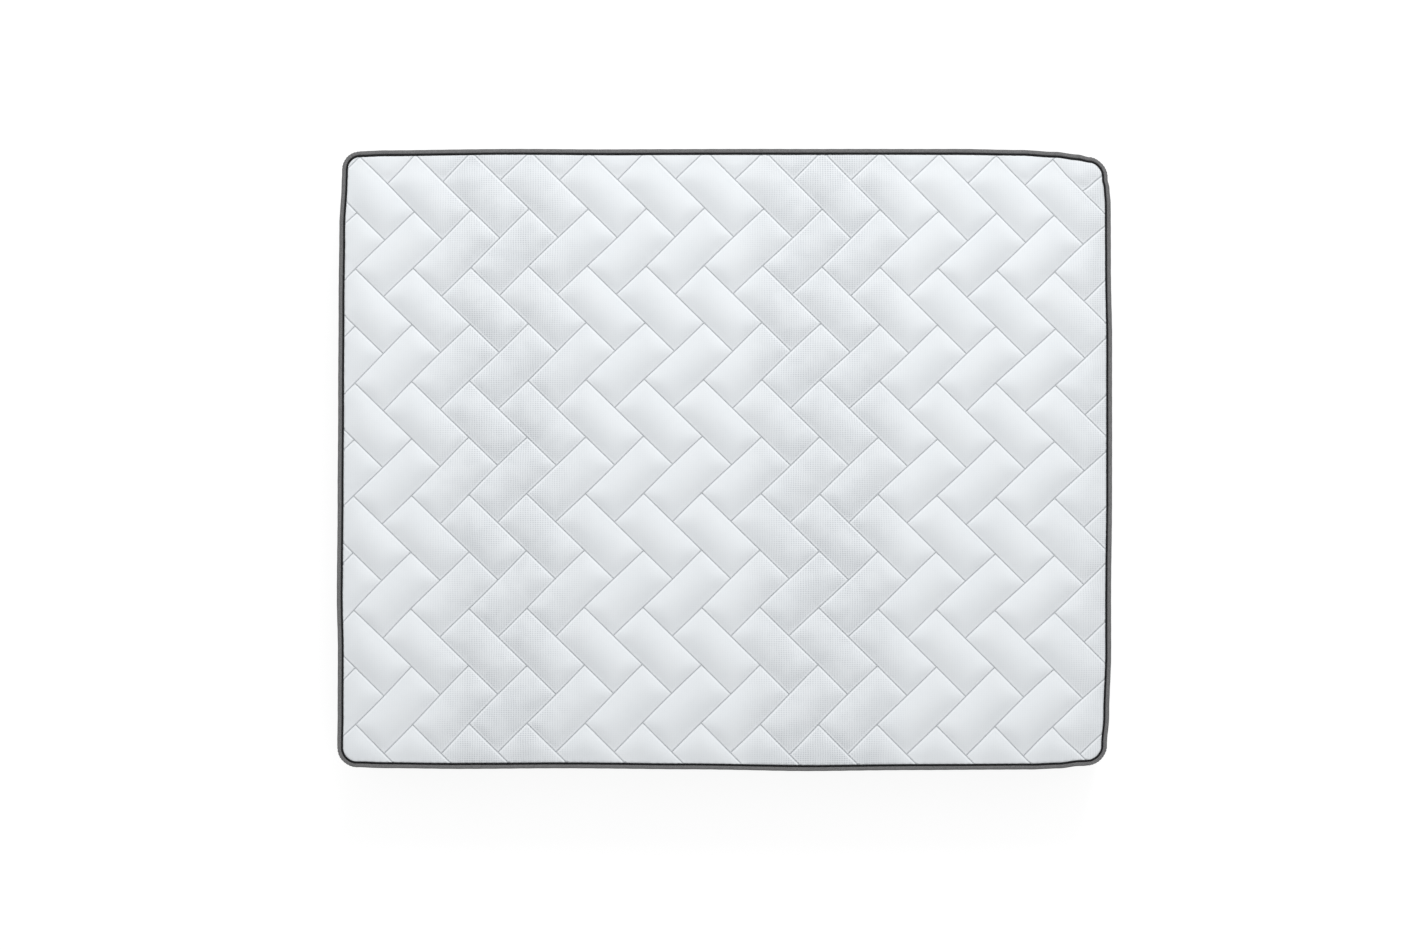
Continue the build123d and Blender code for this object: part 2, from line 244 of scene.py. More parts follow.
class Shader:
    """A material being built, with short calls for the nodes it needs."""

    def __init__(self, name):
        self.material = bpy.data.materials.new(name)
        self.material.use_nodes = True
        self.tree = self.material.node_tree
        self.surface = self.tree.nodes["Principled BSDF"]
        self.place = self.node("TexCoord", output="Object")

    def put(self, socket, value, colour=False):
        if isinstance(value, bpy.types.NodeSocket):
            self.tree.links.new(value, socket)
        else:
            socket.default_value = (*value, 1) if colour else value

    def node(self, kind, output=0, inputs=(), **settings):
        made = self.tree.nodes.new("ShaderNode" + kind)
        for key, value in settings.items():
            setattr(made, key, value)
        for index, value in dict(inputs).items():
            self.put(made.inputs[index], value)
        return made.outputs[output]

    def math(self, operation, a, b=0.0, c=0.0):
        return self.node("Math", operation=operation, inputs={0: a, 1: b, 2: c})

    def times(self, a, b):
        return self.math("MULTIPLY", a, b)

    def plus(self, a, b):
        return self.math("ADD", a, b)

    def minus(self, a, b):
        return self.math("SUBTRACT", a, b)

    def scaled(self, a, factor, added):
        return self.math("MULTIPLY_ADD", a, factor, added)

    def attribute(self, name):
        return self.node("Attribute", output="Vector", attribute_name=name)

    def axes(self, vector):
        split = self.tree.nodes.new("ShaderNodeSeparateXYZ")
        self.put(split.inputs[0], vector)
        return split.outputs

    def noise(self, size, detail=2.0, roughness=0.5):
        inputs = {"Vector": self.place, "Scale": 1 / size, "Detail": detail, "Roughness": roughness}
        return self.node("TexNoise", inputs=inputs)

    def ridge(self, coordinate, pitch, sharp=1.0):
        """0 to 1 ridges across a coordinate, one per pitch."""
        turn = self.times(coordinate, math.pi / pitch)
        wave = self.math("ABSOLUTE", self.math("COSINE", turn))
        return wave if sharp == 1 else self.math("POWER", wave, sharp)

    def staggered(self, a, b, pitch_a, pitch_b, sharp):
        """Spots on a grid, with another one in the middle of each four."""
        even = self.times(self.ridge(a, pitch_a, sharp), self.ridge(b, pitch_b, sharp))
        odd_a = self.ridge(self.plus(a, pitch_a / 2), pitch_a, sharp)
        odd_b = self.ridge(self.plus(b, pitch_b / 2), pitch_b, sharp)
        return self.math("MAXIMUM", even, self.times(odd_a, odd_b))

    def span(self, value, low, high, to_low=0.0, to_high=1.0, kind="LINEAR"):
        inputs = {0: value, 1: low, 2: high, 3: to_low, 4: to_high}
        return self.node("MapRange", inputs=inputs, interpolation_type=kind)

    def blend(self, share, a, b):
        mix = self.tree.nodes.new("ShaderNodeMix")
        mix.data_type = "RGBA"
        self.put(mix.inputs[0], share)
        self.put(mix.inputs[6], a, colour=True)
        self.put(mix.inputs[7], b, colour=True)
        return mix.outputs[2]

    def bump(self, height, distance, strength=1.0, under=None):
        inputs = {"Height": height, "Distance": distance, "Strength": strength}
        if under is not None:
            inputs["Normal"] = under
        return self.node("Bump", inputs=inputs)

    def finish(self, colour, roughness, normal=None, **sockets):
        self.put(self.surface.inputs["Base Color"], colour, colour=True)
        self.put(self.surface.inputs["Roughness"], roughness)
        if normal is not None:
            self.put(self.surface.inputs["Normal"], normal)
        for name, value in sockets.items():
            self.put(self.surface.inputs[name.replace("_", " ")], value)
        return self.material


def seam_gap(s):
    """Distance to the nearest quilting seam, from the lattice places stored in the mesh."""
    u, v, none = s.axes(s.attribute("quilt"))
    i, j = s.math("FLOOR", u), s.math("FLOOR", v)
    kind = s.math("FLOORED_MODULO", s.minus(i, j), 4.0)
    leans = s.math("LESS_THAN", kind, 1.5)
    share_u, share_v = s.minus(u, i), s.minus(v, j)
    long_u = s.plus(share_u, s.math("COMPARE", kind, 1.0, 0.1))
    long_v = s.plus(share_v, s.math("COMPARE", kind, 2.0, 0.1))

    def nearer(along, across):
        end = s.math("MINIMUM", along, s.minus(2.0, along))
        side = s.math("MINIMUM", across, s.minus(1.0, across))
        return s.math("MINIMUM", end, side)

    one, other = nearer(long_u, share_v), nearer(long_v, share_u)
    gap = s.scaled(s.minus(one, other), leans, other)
    return s.times(gap, math.hypot(LATTICE_X, LATTICE_Y))


def knit_white():
    """Fine white stretch knit with a small waffle that is stronger in broad stripes."""
    s = Shader("knit_white")
    x, y, z = s.axes(s.place)
    wander = s.times(s.noise(60 * MM, 1), 5 * MM)
    waffle_x = s.ridge(s.plus(x, wander), 6.3 * MM, 3)
    waffle_y = s.ridge(s.plus(y, wander), 5.4 * MM, 3)
    turn = s.times(s.minus(x, 261 * MM), 2 * math.pi / (827 * MM))
    stripe = s.span(s.math("COSINE", turn), -0.15, 0.85)
    patch = s.span(s.noise(0.2, 3, 0.6), 0.38, 0.62)
    strength = s.times(stripe, s.scaled(patch, 0.4, 0.6))
    strength = s.scaled(strength, 0.9, 0.1)
    pits = s.times(waffle_x, waffle_y)
    rows = s.times(waffle_y, s.span(s.noise(45 * MM, 1), 0.4, 0.6, 0.0, 0.5))
    ribs = s.scaled(waffle_x, 0.5, s.scaled(pits, 0.6, rows))
    marks = s.times(ribs, strength)
    loops = s.times(s.ridge(x, 1.5 * MM), s.ridge(y, 1.1 * MM))
    fibre = s.noise(0.8 * MM, 1)
    tint = s.blend(s.noise(0.12), (0.845, 0.882, 0.912), (0.905, 0.933, 0.956))
    colour = s.blend(s.times(marks, 0.5), tint, (0.5, 0.53, 0.57))
    fuzz = s.times(s.times(loops, fibre), 0.16)
    colour = s.blend(fuzz, colour, (0.66, 0.69, 0.73))
    gap = seam_gap(s)
    # painted highlight: a whiter band on both sides of each seam, a few mm from the stitches, stands in
    # for the lit edges of the puffs
    inner, outer = s.span(gap, 1.4 * MM, 2.4 * MM, 0.0, 0.85), s.span(gap, 4.5 * MM, 7 * MM, 1.0, 0.0)
    colour = s.blend(s.times(inner, outer), colour, (0.93, 0.963, 0.99))
    # painted shade: a dark line along each seam stands in for the shadow in the stitched groove
    line = s.span(gap, 0.5 * MM, 1.8 * MM, 0.5, 0.0)
    colour = s.blend(line, colour, (0.27, 0.3, 0.335))
    rise = s.math("SINE", s.span(gap, 0.0, 5 * MM, 0.0, math.pi / 2))
    near = s.span(gap, 1 * MM, 18 * MM, 1.0, 0.0, "SMOOTHSTEP")
    pucker = s.times(s.noise(7 * MM, 2), near)
    under = s.bump(s.scaled(pucker, 0.4, rise), 1.8 * MM)
    relief = s.scaled(marks, -1.0, s.times(loops, 0.35))
    normal = s.bump(relief, 0.5 * MM, 0.6, under)
    return s.finish(colour, 0.92, normal, Sheen_Weight=0.12, Sheen_Roughness=0.5, Specular_IOR_Level=0.2)


def ribbed_tape():
    """Grey heather tape with ribs across it. The attribute holds metres along and round it."""
    s = Shader("tape_grey")
    along, around, none = s.axes(s.attribute("along"))
    ribs = s.ridge(along, 2.1 * MM, 1.5)
    weave = s.ridge(around, 1.0 * MM)
    heather = s.noise(2.4 * MM, 3, 0.7)
    fleck = s.span(heather, 0.3, 0.7)
    colour = s.blend(fleck, (0.115, 0.115, 0.117), (0.31, 0.31, 0.315))
    # painted shade: the grooves between the ribs are darkened
    grooves = s.times(s.minus(1.0, ribs), 0.55)
    colour = s.blend(grooves, colour, (0.05, 0.05, 0.052))
    # painted shade: past the top of the roll the tape is darkened round its outer side and underside,
    # for the shade on the side away from the light
    outer_shade = s.span(around, 12 * MM, 15 * MM, 0.0, 0.6)
    colour = s.blend(outer_shade, colour, (0.035, 0.035, 0.037))
    relief = s.plus(ribs, s.times(weave, 0.25))
    return s.finish(colour, 0.85, s.bump(relief, 0.4 * MM, 0.8), Sheen_Weight=0.1)


def piping_black():
    """Black woven piping."""
    s = Shader("piping_black")
    along, around, none = s.axes(s.attribute("along"))
    ribs = s.ridge(s.plus(along, around), 1.4 * MM)
    dust = s.span(s.noise(3 * MM, 3), 0.4, 0.75)
    colour = s.blend(dust, (0.006, 0.006, 0.007), (0.022, 0.022, 0.025))
    return s.finish(colour, 0.75, s.bump(ribs, 0.25 * MM, 0.7), Specular_IOR_Level=0.15)


def border_knit():
    """Grey spacer knit with staggered small holes."""
    s = Shader("border_knit")
    along, up, none = s.axes(s.attribute("along"))
    holes = s.staggered(along, up, 4.2 * MM, 6.3 * MM, 3)
    yarn = s.ridge(along, 0.9 * MM)
    heather = s.span(s.noise(1.8 * MM, 3, 0.75), 0.3, 0.7)
    colour = s.blend(heather, (0.2, 0.205, 0.215), (0.36, 0.365, 0.375))
    # painted shade: the holes are darkened nearly to black for the shade inside them
    colour = s.blend(s.times(holes, 0.85), colour, (0.035, 0.036, 0.04))
    relief = s.scaled(holes, -1.0, s.times(yarn, 0.2))
    return s.finish(colour, 0.88, s.bump(relief, 0.9 * MM, 0.9), Sheen_Weight=0.2)


def base_cloth():
    """Dark non-slip base cloth with small raised dots."""
    s = Shader("base_cloth")
    x, y, z = s.axes(s.place)
    dots = s.span(s.staggered(x, y, 9 * MM, 9 * MM, 2), 0.72, 0.86)
    weave = s.times(s.ridge(x, 1.2 * MM), s.ridge(y, 1.2 * MM))
    heather = s.span(s.noise(2.5 * MM, 3, 0.7), 0.3, 0.7)
    colour = s.blend(heather, (0.075, 0.077, 0.082), (0.14, 0.143, 0.15))
    colour = s.blend(dots, colour, (0.03, 0.031, 0.034))
    roughness = s.span(dots, 0.0, 1.0, 0.9, 0.5)
    relief = s.scaled(dots, 1.5, s.times(weave, 0.4))
    return s.finish(colour, roughness, s.bump(relief, 0.5 * MM, 0.8))


def foam(name, low, high, cell):
    """Open-cell foam."""
    s = Shader(name)
    pores = s.node("TexVoronoi", inputs={"Vector": s.place, "Scale": 1 / cell})
    colour = s.blend(s.noise(20 * cell, 3), low, high)
    # painted shade: the pores are darkened a little
    pits = s.minus(1.0, s.span(pores, 0.0, 0.5))
    colour = s.blend(s.times(pits, 0.25), colour, (0.3, 0.3, 0.3))
    return s.finish(colour, 0.9, s.bump(pores, 0.5 * MM, 0.7), Subsurface_Weight=0.05)


def fleece(name, low, high, fibre=1.2):
    """Felted fibre: wadding, backing and thin liners."""
    s = Shader(name)
    strands = s.noise(fibre * MM, 4, 0.75)
    colour = s.blend(s.span(strands, 0.3, 0.7), low, high)
    return s.finish(colour, 0.95, s.bump(strands, 0.6 * MM, 0.6), Sheen_Weight=0.2)


def zip_weave():
    """Grey woven zip tape."""
    s = Shader("zip_weave")
    x, y, z = s.axes(s.place)
    twill = s.ridge(s.plus(x, z), 1.0 * MM)
    rows = s.ridge(z, 1.3 * MM)
    colour = s.blend(s.times(twill, rows), (0.05, 0.051, 0.055), (0.15, 0.152, 0.158))
    return s.finish(colour, 0.85, s.bump(s.plus(twill, rows), 0.2 * MM, 0.7), Sheen_Weight=0.1)


def nylon():
    """Smooth grey nylon of the zip coils."""
    s = Shader("nylon")
    shade = s.noise(12 * MM, 2)
    colour = s.blend(shade, (0.09, 0.092, 0.098), (0.15, 0.152, 0.16))
    scratch = s.noise(0.5 * MM, 2)
    return s.finish(colour, s.span(scratch, 0.3, 0.7, 0.32, 0.5), Specular_IOR_Level=0.5)


def zip_metal():
    """Nickel-plated die-cast metal, a little worn."""
    s = Shader("zip_metal")
    wear = s.noise(1.5 * MM, 4, 0.65)
    colour = s.blend(s.span(wear, 0.35, 0.75), (0.45, 0.445, 0.43), (0.62, 0.615, 0.6))
    roughness = s.span(wear, 0.3, 0.7, 0.24, 0.42)
    return s.finish(colour, roughness, s.bump(wear, 0.05 * MM, 0.4), Metallic=1.0)


def thread(name, low, high):
    """Twisted sewing thread."""
    s = Shader(name)
    x, y, z = s.axes(s.place)
    ply = s.ridge(s.plus(s.plus(x, y), z), 0.5 * MM)
    colour = s.blend(ply, low, high)
    return s.finish(colour, 0.6, s.bump(ply, 0.1 * MM, 0.6), Sheen_Weight=0.1)


def floor_white():
    """A white floor that glows a little, so that it stays white round the mattress."""
    s = Shader("floor_white")
    colour = s.blend(s.noise(0.8, 2), (0.29, 0.29, 0.29), (0.31, 0.31, 0.31))
    glow = {"Emission_Color": (1.0, 1.0, 1.0, 1.0), "Emission_Strength": FLOOR_GLOW}
    return s.finish(colour, 0.95, Specular_IOR_Level=0.0, **glow)


KNIT = knit_white()
TAPE = ribbed_tape()
PIPING = piping_black()
BORDER = border_knit()
BASE = base_cloth()
WADDING = fleece("wadding_white", (0.8, 0.8, 0.79), (0.93, 0.93, 0.92), 1.6)
BACKING = fleece("backing_white", (0.72, 0.72, 0.71), (0.86, 0.86, 0.85), 0.9)
LINER = fleece("liner_knit", (0.78, 0.78, 0.75), (0.9, 0.9, 0.87), 0.6)
ZIP_TAPE = zip_weave()
COIL = nylon()
METAL = zip_metal()
WHITE_THREAD = thread("thread_white", (0.55, 0.57, 0.6), (0.8, 0.82, 0.85))
GREY_THREAD = thread("thread_grey", (0.16, 0.163, 0.17), (0.34, 0.345, 0.355))

SUPPORT_FOAM = foam("foam_support", (0.7, 0.72, 0.76), (0.8, 0.82, 0.85), 1.2 * MM)
TRANSITION_FOAM = foam("foam_transition", (0.5, 0.62, 0.74), (0.6, 0.72, 0.82), 1.0 * MM)
MEMORY_FOAM = foam("foam_memory", (0.82, 0.77, 0.6), (0.9, 0.86, 0.7), 0.7 * MM)

for node, material in (
    ("zip_tape_upper", ZIP_TAPE),
    ("zip_tape_lower", ZIP_TAPE),
    ("zip_stops", METAL),
    ("zip_slider", METAL),
    ("zip_pull", METAL),
):
    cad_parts[node].data.materials.clear()
    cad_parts[node].data.materials.append(material)


# ---- quilted top

def unit_class(i, j):
    """The quarter of the repeat a unit square is in: 0 and 1 lean one way, 2 and 3 the other."""
    return (i - j) % 4


def grid_data(points, faces):
    data = bpy.data.meshes.new("grid")
    data.from_pydata(points.tolist(), [], faces.tolist())
    return data


def opened(data):
    """A bmesh that takes the place of a mesh."""
    mesh = bmesh.new()
    mesh.from_mesh(data)
    bpy.data.meshes.remove(data)
    return mesh


class Lattice:
    """The herringbone grid over the whole panel: places, seams, and the swollen heights."""

    def __init__(self):
        line = np.arange(-LATTICE_REACH * CELLS, LATTICE_REACH * CELLS) / CELLS
        self.u, self.v = np.meshgrid(line, line, indexing="ij")
        x = LATTICE_START[0] + LATTICE_X * (self.u + self.v)
        y = LATTICE_START[1] + LATTICE_Y * (self.v - self.u)
        # the quilting bows towards -Y at both ends, where the cloth was pulled over the core, and
        # its outer rows are drawn in over the rim
        bow_x = 2.2 * x + 8.7 * y + 3.6 * x * x + 4.6 * y * y
        bow_x -= 6.5 * x ** 3 + 9.1 * x * x * y + 4.3 * x * y * y + 2.4 * y ** 3
        bow_y = -2.8 * x + 0.6 * y - 13.9 * x * x - 1.2 * x * y - 4 * y * y
        bow_y += 6.9 * y ** 3 - 2.5 * x ** 3 - 3.3 * x * x * y
        wobble = np.sin(13 * x + 9 * y)
        self.x = x + (bow_x + wobble) * MM
        self.y = y + (bow_y - wobble) * MM
        i, j = self.i, self.j = np.floor(self.u), np.floor(self.v)
        self.kind = unit_class(i, j)
        on_u, on_v = self.u == i, self.v == j
        in_long = on_u & ~on_v & (unit_class(i - 1, j) == 0)
        in_short = on_v & ~on_u & (self.kind == 2)
        self.seam = (on_u | on_v) & ~in_long & ~in_short
        self.z = self.pillow()

    def pillow(self):
        """A plain pillow over each block, where the simulation starts from."""
        u, v = self.u - self.i, self.v - self.j
        leans = self.kind < 2
        ends = np.where(leans, (u + (self.kind == 1)) / 2, (v + (self.kind == 2)) / 2) * 2 - 1
        sides = np.where(leans, v, u) * 2 - 1
        fall = 1 - np.abs(sides) ** 2.6
        height = fall ** 0.75 * (1 - np.abs(ends) ** 5) ** 0.75
        return PUFF * np.where(self.seam, 0, height)

    def faces(self, step=1):
        """Places used in the flattened grid and square faces between them, over the panel."""
        count = self.x.shape[0]
        line = np.arange(0, count, step)
        faces = np.add.outer(line * count, line).ravel()[grid_faces(len(line), len(line))]
        fits = (np.abs(self.x) < HALF_X + SPARE_CLOTH) & (np.abs(self.y) < HALF_Y + SPARE_CLOTH)
        faces = faces[fits.ravel()[faces].all(axis=1)]
        used, faces = np.unique(faces, return_inverse=True)
        return used, faces.reshape(-1, 4)

    def swell(self):
        """Cloth simulation of the face fabric, held down along the seams and round the rim."""
        used, faces = self.faces()
        places = np.column_stack([self.x.ravel(), self.y.ravel(), self.z.ravel() * 0.5])[used]
        held = self.seam.ravel()[used] | (depth_inside(places[:, 0], places[:, 1]) < PANEL_INSET)
        places[held, 2] = 0
        moved = inflate(places, faces, held, QUILT_PRESSURE, QUILT_SLACK, 18)
        for axis, values in enumerate((self.x, self.y, self.z)):
            values.ravel()[used] = moved[:, axis]

    def vary(self):
        """Some blocks are filled a little fuller than others."""
        first_i, first_j = self.i - (self.kind == 1), self.j - (self.kind == 2)
        share = np.sin(first_i * 12.9898 + first_j * 78.233) * 43758.5453
        self.z = np.maximum(self.z, 0) * (1 + PUFF_SPREAD * ((share - np.floor(share)) * 2 - 1))

    def bmesh(self, step=1):
        """The grid over the panel, its seams creased, with the lattice places stored in it."""
        used, faces = self.faces(step)
        places = np.column_stack([self.x.ravel(), self.y.ravel(), self.z.ravel()])[used]
        data = grid_data(places, faces)
        lattice = np.column_stack([self.u.ravel(), self.v.ravel(), 0 * self.u.ravel()])[used]
        kept = data.attributes.new("quilt", "FLOAT_VECTOR", "POINT")
        kept.data.foreach_set("vector", lattice.ravel().astype(np.float32))
        ends = np.zeros(2 * len(data.edges), int)
        data.edges.foreach_get("vertices", ends)
        crease = self.seam.ravel()[used][ends.reshape(-1, 2)].all(axis=1)
        kept = data.attributes.new("crease_edge", "FLOAT", "EDGE")
        kept.data.foreach_set("value", crease.astype(np.float32))
        return opened(data)


def inflate(points, faces, pinned, pressure, slack, frames):
    """Cloth simulation: pinned points stay and the rest swells under pressure."""
    piece = new_mesh("cloth_run", points, faces, body=None)
    group = piece.vertex_groups.new(name="pinned")
    group.add([int(k) for k in np.flatnonzero(pinned)], 1.0, "REPLACE")
    cloth = piece.modifiers.new("cloth", "CLOTH")
    settings = cloth.settings
    settings.vertex_group_mass = "pinned"
    settings.quality = 4
    settings.mass = 0.01
    settings.tension_stiffness = 15
    settings.compression_stiffness = 15
    settings.shear_stiffness = 7
    settings.bending_stiffness = 0.5
    settings.air_damping = 1
    settings.shrink_min = -slack
    settings.use_pressure = True
    settings.uniform_pressure_force = pressure
    settings.effector_weights.gravity = 0.0
    cloth.collision_settings.use_collision = False
    cloth.point_cache.frame_start = 1
    cloth.point_cache.frame_end = frames
    scene = bpy.context.scene
    for number in range(1, frames + 1):
        scene.frame_set(number)
    graph = bpy.context.evaluated_depsgraph_get()
    shown = piece.evaluated_get(graph).data
    moved = np.zeros(len(points) * 3)
    shown.vertices.foreach_get("co", moved)
    bpy.data.objects.remove(piece)
    scene.frame_set(1)
    return moved.reshape(-1, 3)


def inner_centre(x, y):
    """The nearest point of the rectangle through the four corner centres."""
    reach_x, reach_y = HALF_X - CORNER, HALF_Y - CORNER
    return np.clip(x, -reach_x, reach_x), np.clip(y, -reach_y, reach_y)


def depth_inside(x, y):
    """How far a place is inside the straight rounded outline."""
    centre_x, centre_y = inner_centre(x, y)
    out = np.hypot(x - centre_x, y - centre_y)
    side = np.minimum(HALF_X - np.abs(x), HALF_Y - np.abs(y))
    return np.where(out > 0, CORNER - out, side)


def trim(mesh, inset):
    """Cuts a flat-lying bmesh to the rounded outline of the panel at an inset."""
    planes = [((HALF_X - inset) * k, 0, k, 0) for k in (-1, 1)]
    planes += [(0, (HALF_Y - inset) * k, 0, k) for k in (-1, 1)]
    radius = CORNER - inset
    for side_x in (-1, 1):
        for side_y in (-1, 1):
            for turn in range(10, 90, 10):
                nx = side_x * math.cos(math.radians(turn))
                ny = side_y * math.sin(math.radians(turn))
                x = side_x * (HALF_X - CORNER) + radius * nx
                y = side_y * (HALF_Y - CORNER) + radius * ny
                planes.append((x, y, nx, ny))
    for x, y, nx, ny in planes:
        faces = mesh.faces[:]
        if nx and ny:
            faces = [face for face in faces if abs(face.calc_center_bounds().x - x) < 2 * CORNER]
            faces = [face for face in faces if abs(face.calc_center_bounds().y - y) < 2 * CORNER]
        # a dict keeps their order, so that every run cuts the same shape
        near = dict.fromkeys(part for face in faces for part in (*face.edges, *face.verts))
        plane = {"plane_co": (x, y, 0), "plane_no": (nx, ny, 0)}
        bmesh.ops.bisect_plane(mesh, geom=faces + [*near], dist=1e-6, clear_outer=True, **plane)
    bmesh.ops.remove_doubles(mesh, verts=mesh.verts[:], dist=0.3 * MM)


def extrude_rim(mesh, place, low=-1, high=1):
    """Extends the open rim of a bmesh by one row, where it lies between two heights;
    place(x, y, z) gives where each point goes."""
    rim = [edge for edge in mesh.edges if edge.is_boundary]
    rim = [edge for edge in rim if low < (edge.verts[0].co.z + edge.verts[1].co.z) / 2 < high]
    made = bmesh.ops.extrude_edge_only(mesh, edges=rim)["geom"]
    for vertex in made:
        if isinstance(vertex, bmesh.types.BMVert):
            vertex.co = place(*vertex.co)
    return [edge for edge in made if isinstance(edge, bmesh.types.BMEdge)]


def sewn_edge(mesh, height):
    """Ends a panel in a wall and the flange that goes under its piping into the edge roll."""
    def under_piping(x, y, z):
        centre_x, centre_y = inner_centre(x, y)
        out_x, out_y = x - centre_x, y - centre_y
        share = (CORNER - BEAD_WIDTH) / math.hypot(out_x, out_y)
        return centre_x + out_x * share, centre_y + out_y * share, height

    extrude_rim(mesh, lambda x, y, z: (x, y, height))
    extrude_rim(mesh, under_piping)


def rim_share(depth, width):
    """0 at the rim of a panel, rising steeply to 1 at a width inside it."""
    t = 1 - np.clip(depth / width, 0, 1)
    return np.sqrt(1 - t * t)


def quilt_height(x, y, puff, inset=PANEL_INSET):
    """The height of the quilted face: seams on a slight crown, puffs on them, a sunk rim."""
    crown = CROWN * (1 - (x / HALF_X) ** 2) * (1 - (y / HALF_Y) ** 2)
    depth = depth_inside(x, y) - inset
    full = SEAM_Z + crown + puff * (1 - FLAT_SHARE * (1 - smooth(depth / FLAT_REACH)))
    return PANEL_EDGE + (full - PANEL_EDGE) * rim_share(depth, RIM)


def move_points(mesh, place):
    """Moves the points of a bmesh; place takes and gives an array of them."""
    for vertex, point in zip(mesh.verts, place(np.array([vertex.co for vertex in mesh.verts]))):
        vertex.co = point


def set_heights(mesh, height):
    move_points(mesh, lambda points: np.column_stack([points[:, :2], height(*points.T)]))


def softened(mesh, name, material):
    """A piece from a bmesh of the straight model, moved to the soft outline."""
    move_points(mesh, soften)
    data = bpy.data.meshes.new(name)
    mesh.to_mesh(data)
    mesh.free()
    return add_piece(name, data, material)


def finished(mesh, name, material):
    """A softened piece with even normals and smooth shading."""
    bmesh.ops.recalc_face_normals(mesh, faces=mesh.faces[:])
    piece = softened(mesh, name, material)
    shade_smooth(piece.data)
    return piece


def quilted_face(lattice):
    """Face fabric with its puffs, sunk rim and the flange that goes under the piping."""
    mesh = lattice.bmesh()
    trim(mesh, PANEL_INSET)
    set_heights(mesh, quilt_height)
    sewn_edge(mesh, FLANGE_Z)
    piece = finished(mesh, "quilted_face", KNIT)
    piece.modifiers.new("finer", "SUBSURF").levels = 1
    thicken(piece, FABRIC)
    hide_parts("quilt_face")


def quilted_wadding(lattice):
    """The fibre filling: follows the underside of the face, flat below."""
    mesh = lattice.bmesh(step=2)
    inset = PANEL_INSET + FABRIC + 0.5 * MM
    trim(mesh, inset)
    set_heights(mesh, lambda x, y, z: quilt_height(x, y, z, inset) - FABRIC - 0.3 * MM)
    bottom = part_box("quilt_wadding")[0][2]
    rim = extrude_rim(mesh, lambda x, y, z: (x, y, bottom))
    rim = [edge for edge in rim if edge.is_boundary]
    bmesh.ops.edgeloop_fill(mesh, edges=rim)
    piece = finished(mesh, "quilted_wadding", WADDING)
    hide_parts("quilt_wadding")


def stitches(name, runs, material, pitch, length, radius, lift=0.0):
    """Sewn thread: short raised stitches along runs of points. Each run is (points, outward)."""
    starts, ends, outs = [], [], []
    for points, outward in runs:
        points = np.asarray(points, float)
        distance = lengths(points)
        count = max(1, int(distance[-1] / pitch))
        middles = (np.arange(count) + 0.5) * distance[-1] / count
        for half, places in ((-1, starts), (1, ends)):
            at = middles + half * length / 2
            places.append(np.stack([np.interp(at, distance, points[:, k]) for k in range(3)], axis=1))
        outs.append(np.broadcast_to(outward, (count, 3)))
    start, end, out = np.concatenate(starts), np.concatenate(ends), np.concatenate(outs)
    along = end - start
    along /= np.linalg.norm(along, axis=1, keepdims=True)
    side = np.cross(out, along)
    side /= np.linalg.norm(side, axis=1, keepdims=True)
    rows = ((0.0, 0.25, -0.6), (0.2, 1.0, 0.3), (0.5, 1.0, 0.6), (0.8, 1.0, 0.3), (1.0, 0.25, -0.6))
    turns = np.radians([45, 135, 225, 315])
    points = []
    for share, width, rise in rows:
        middle = start + (end - start) * share + out * (lift + rise * radius)
        for turn in turns:
            points.append(middle + (side * math.cos(turn) + out * math.sin(turn)) * radius * width)
    points = np.stack(points, axis=1)
    count, per = points.shape[:2]
    faces = tube_faces(len(rows), len(turns))
    total = [[k + n * per for k in face] for n in range(count) for face in faces]
    return new_mesh(name, points.reshape(-1, 3), total, material)


def quilt_thread(lattice):
    """Stitches along every seam of the herringbone."""
    count = lattice.x.shape[0]
    runs = []
    for a in range(0, count - CELLS, CELLS):
        for b in range(0, count - CELLS, CELLS):
            for part, middle in (
                ((slice(a, a + CELLS + 1), b), (a + 1, b)),
                ((a, slice(b, b + CELLS + 1)), (a, b + 1)),
            ):
                x, y = lattice.x[part], lattice.y[part]
                keep = depth_inside(x, y) > PANEL_INSET + 1.5 * MM
                if keep.sum() < 2 or not lattice.seam[middle]:
                    continue
                x, y = x[keep], y[keep]
                points = np.column_stack([x, y, quilt_height(x, y, 0 * x)])
                runs.append((soften(points), (0, 0, 1)))
    piece = stitches("quilt_thread", runs, WHITE_THREAD, 4.6 * MM, 3.4 * MM, 0.42 * MM, 0.25 * MM)


# ---- edge roll and side band

